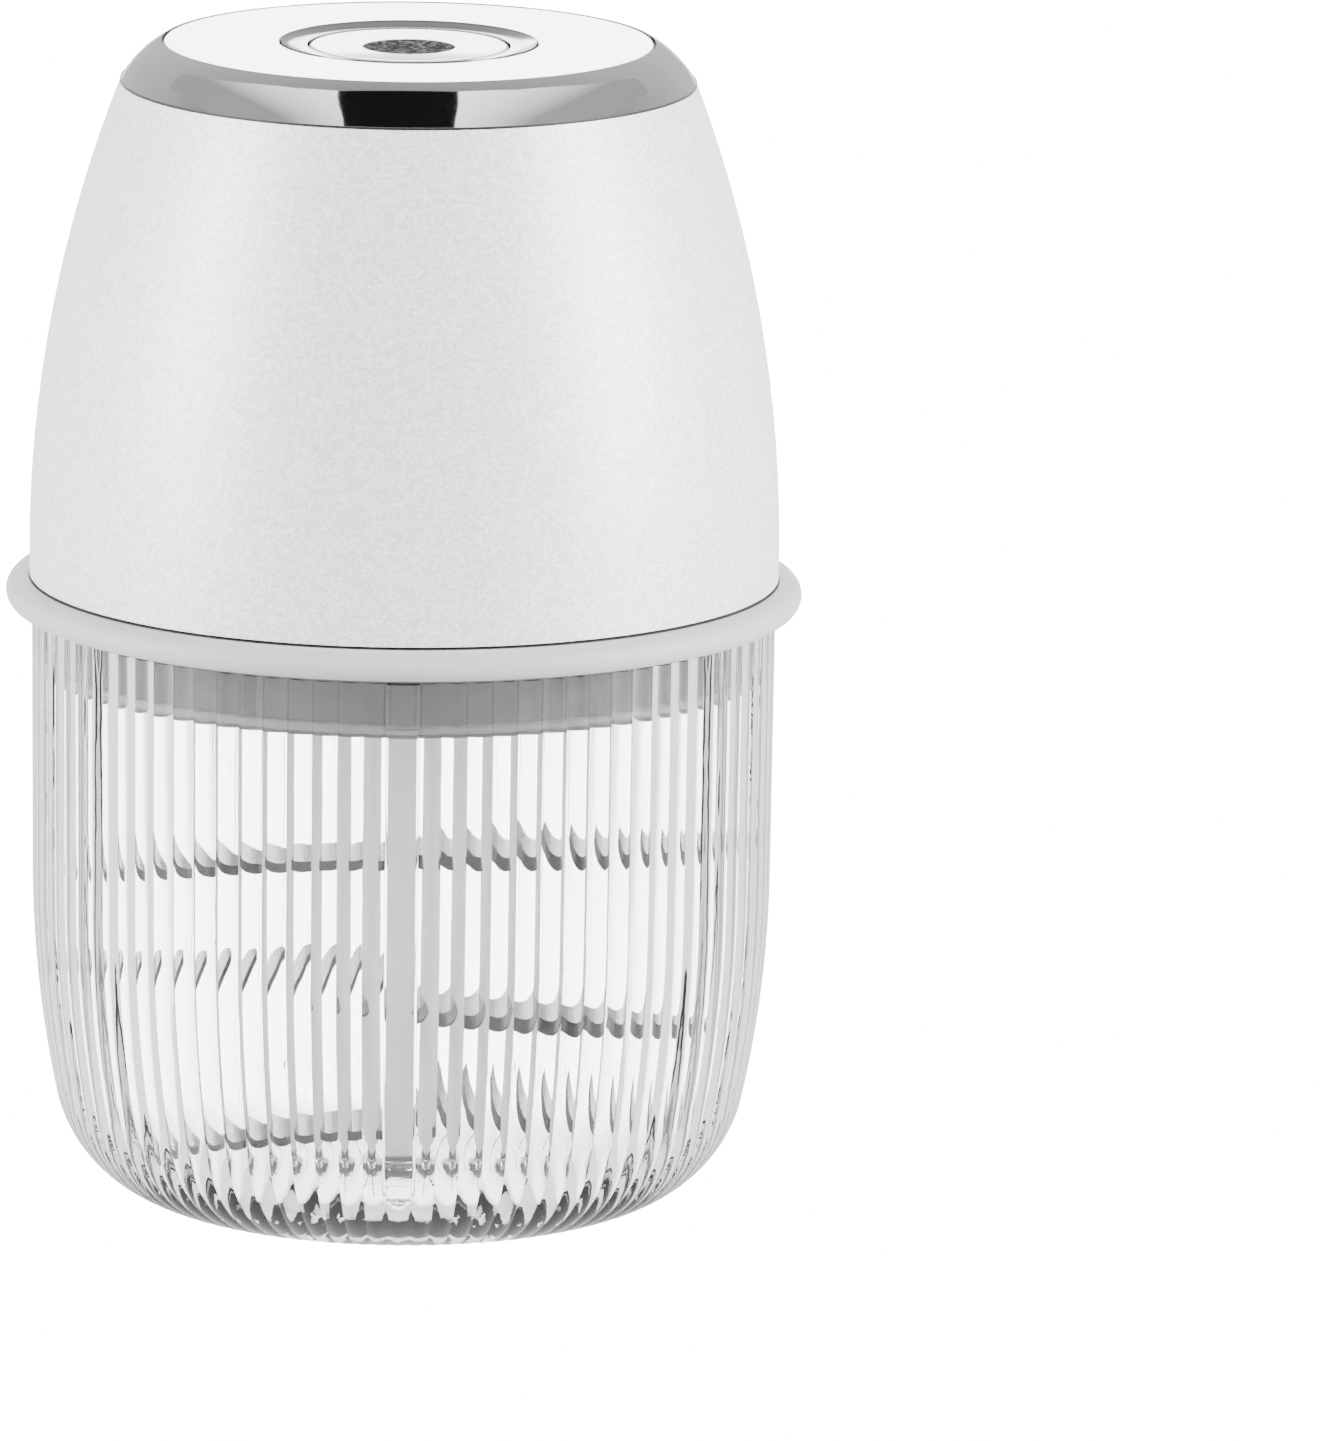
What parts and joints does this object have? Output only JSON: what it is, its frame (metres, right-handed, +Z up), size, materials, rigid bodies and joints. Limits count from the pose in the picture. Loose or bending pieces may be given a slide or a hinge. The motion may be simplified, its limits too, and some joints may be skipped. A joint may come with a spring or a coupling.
{
  "type": "mini food processor",
  "caption": "Cordless mini food processor: reeded glass bowl with stacked blades on a spindle, a lid with a soft collar, and a barrel-shaped motor unit with a round push button on top.",
  "frame": {"origin": "middle of the bowl's foot, on the table", "axes": "+Z up along the blades' axis, front (a raised bar on the bowl) towards -Y, charging socket towards +Y"},
  "size_m": [0.092, 0.092, 0.1359],
  "materials": {
    "clear_glass": "clear moulded glass, polished",
    "pin_steel": "turned stainless steel",
    "lid_plastic": "grey, fine matte",
    "bush_acetal": "white acetal, smooth",
    "gasket_silicone": "grey silicone, matte",
    "collar_silicone": "pale grey silicone, soft matte",
    "spindle_plastic": "white, smooth",
    "blade_steel": "stainless steel, ground edge",
    "base_plastic": "grey, fine matte",
    "bearing_bronze": "sintered bronze",
    "seal_rubber": "black nitrile",
    "screw_steel": "zinc plated",
    "gear_plastic": "natural acetal",
    "sun_brass": "machined brass",
    "shaft_steel": "ground steel",
    "motor_steel": "zinc plated steel can",
    "magnet_ferrite": "sintered ferrite, dark grey",
    "core_steel": "laminated steel, lacquered",
    "winding_copper": "enamelled copper wire",
    "commutator_copper": "turned copper",
    "black_plastic": "black nylon",
    "contact_nickel": "nickel plated",
    "cell_wrap": "blue heat-shrink film",
    "circuit_board": "green solder mask",
    "chip_black": "moulded epoxy",
    "lead_wire": "red insulation",
    "housing_pearl": "pearl white paint, satin gloss",
    "bezel_chrome": "chrome plated plastic",
    "cover_white": "white, high gloss",
    "trim_aluminium": "satin anodised",
    "button_white": "white, gloss",
    "button_dark": "dark grey, speckled",
    "spring_steel": "spring wire"
  },
  "bodies": {
    "bowl": {"glass_bowl": "clear_glass", "pivot_pin": "pin_steel"},
    "lid": {"lid": "lid_plastic", "lid_bush": "bush_acetal", "lid_gasket": "gasket_silicone", "collar_ring": "collar_silicone"},
    "blade_assembly": {"blade_spindle": "spindle_plastic", "upper_blade": "blade_steel", "middle_blade": "blade_steel", "lower_blade": "blade_steel"},
    "motor_unit": {"base_cover": "base_plastic", "base_bearing": "bearing_bronze", "shaft_seal": "seal_rubber", "base_screws": "screw_steel", "gearbox_case": "gear_plastic", "gearbox_screws": "screw_steel", "motor_can": "motor_steel", "motor_magnets": "magnet_ferrite", "motor_end_cap": "black_plastic", "motor_terminals": "contact_nickel", "motor_screws": "screw_steel", "inner_frame": "black_plastic", "battery_cells": "cell_wrap", "battery_tabs": "contact_nickel", "control_board": "circuit_board", "board_parts": "chip_black", "board_screws": "screw_steel", "start_switch": "chip_black", "motor_leads": "lead_wire", "charging_board": "circuit_board", "charging_socket": "contact_nickel", "socket_tongue": "black_plastic", "interlock_switch": "chip_black", "outer_housing": "housing_pearl", "bezel_ring": "bezel_chrome", "top_cover": "cover_white", "button_trim_ring": "trim_aluminium", "button_guide": "black_plastic", "button_spring": "spring_steel"},
    "button": {"power_button": "button_white", "button_insert": "button_dark"},
    "rotor": {"motor_shaft": "shaft_steel", "armature": "core_steel", "motor_windings": "winding_copper", "commutator": "commutator_copper", "sun_gear": "sun_brass"},
    "output": {"planet_carrier": "shaft_steel", "carrier_pins": "shaft_steel", "output_shaft": "shaft_steel", "drive_coupling": "black_plastic"},
    "planet_1": {"planet_gear_1": "gear_plastic"},
    "planet_2": {"planet_gear_2": "gear_plastic"},
    "planet_3": {"planet_gear_3": "gear_plastic"},
    "interlock": {"interlock_pin": "bush_acetal"}
  },
  "joints": [
    {"name": "lid_lift", "type": "slide", "parent": "bowl", "child": "lid", "axis": [0, 0, 1], "range_m": [0, 0.09]},
    {"name": "motor_lift", "type": "slide", "parent": "lid", "child": "motor_unit", "axis": [0, 0, 1], "range_m": [0, 0.05]},
    {"name": "button_press", "type": "slide", "parent": "motor_unit", "child": "button", "axis": [0, 0, -1], "range_m": [0, 0.0012], "stiffness_N_per_m": 800, "springref_m": -0.001, "deforming": ["button_spring"]},
    {"name": "blade_spin", "type": "hinge", "parent": "lid", "child": "blade_assembly", "pos_m": [0, 0, 0.065], "axis": [0, 0, 1], "continuous": true},
    {"name": "output_spin", "type": "hinge", "parent": "motor_unit", "child": "output", "pos_m": [0, 0, 0.073], "axis": [0, 0, 1], "continuous": true},
    {"name": "rotor_spin", "type": "hinge", "parent": "motor_unit", "child": "rotor", "pos_m": [0, 0, 0.087], "axis": [0, 0, 1], "continuous": true},
    {"name": "planet_1_spin", "type": "hinge", "parent": "output", "child": "planet_1", "pos_m": [0.009, 0, 0.0818], "axis": [0, 0, 1], "continuous": true},
    {"name": "planet_2_spin", "type": "hinge", "parent": "output", "child": "planet_2", "pos_m": [-0.0045, 0.00779, 0.0818], "axis": [0, 0, 1], "continuous": true},
    {"name": "planet_3_spin", "type": "hinge", "parent": "output", "child": "planet_3", "pos_m": [-0.0045, -0.00779, 0.0818], "axis": [0, 0, 1], "continuous": true},
    {"name": "interlock_slide", "type": "slide", "parent": "motor_unit", "child": "interlock", "axis": [0, 0, -1], "range_m": [0, 0.0015]}
  ],
  "couplings": [
    {"joint": "output_spin", "follows": "blade_spin", "ratio": 1},
    {"joint": "rotor_spin", "follows": "blade_spin", "ratio": 5},
    {"joint": "planet_1_spin", "follows": "blade_spin", "ratio": -2.6667},
    {"joint": "planet_2_spin", "follows": "blade_spin", "ratio": -2.6667},
    {"joint": "planet_3_spin", "follows": "blade_spin", "ratio": -2.6667},
    {"joint": "interlock_slide", "follows": "motor_lift", "ratio": 0.03}
  ]
}
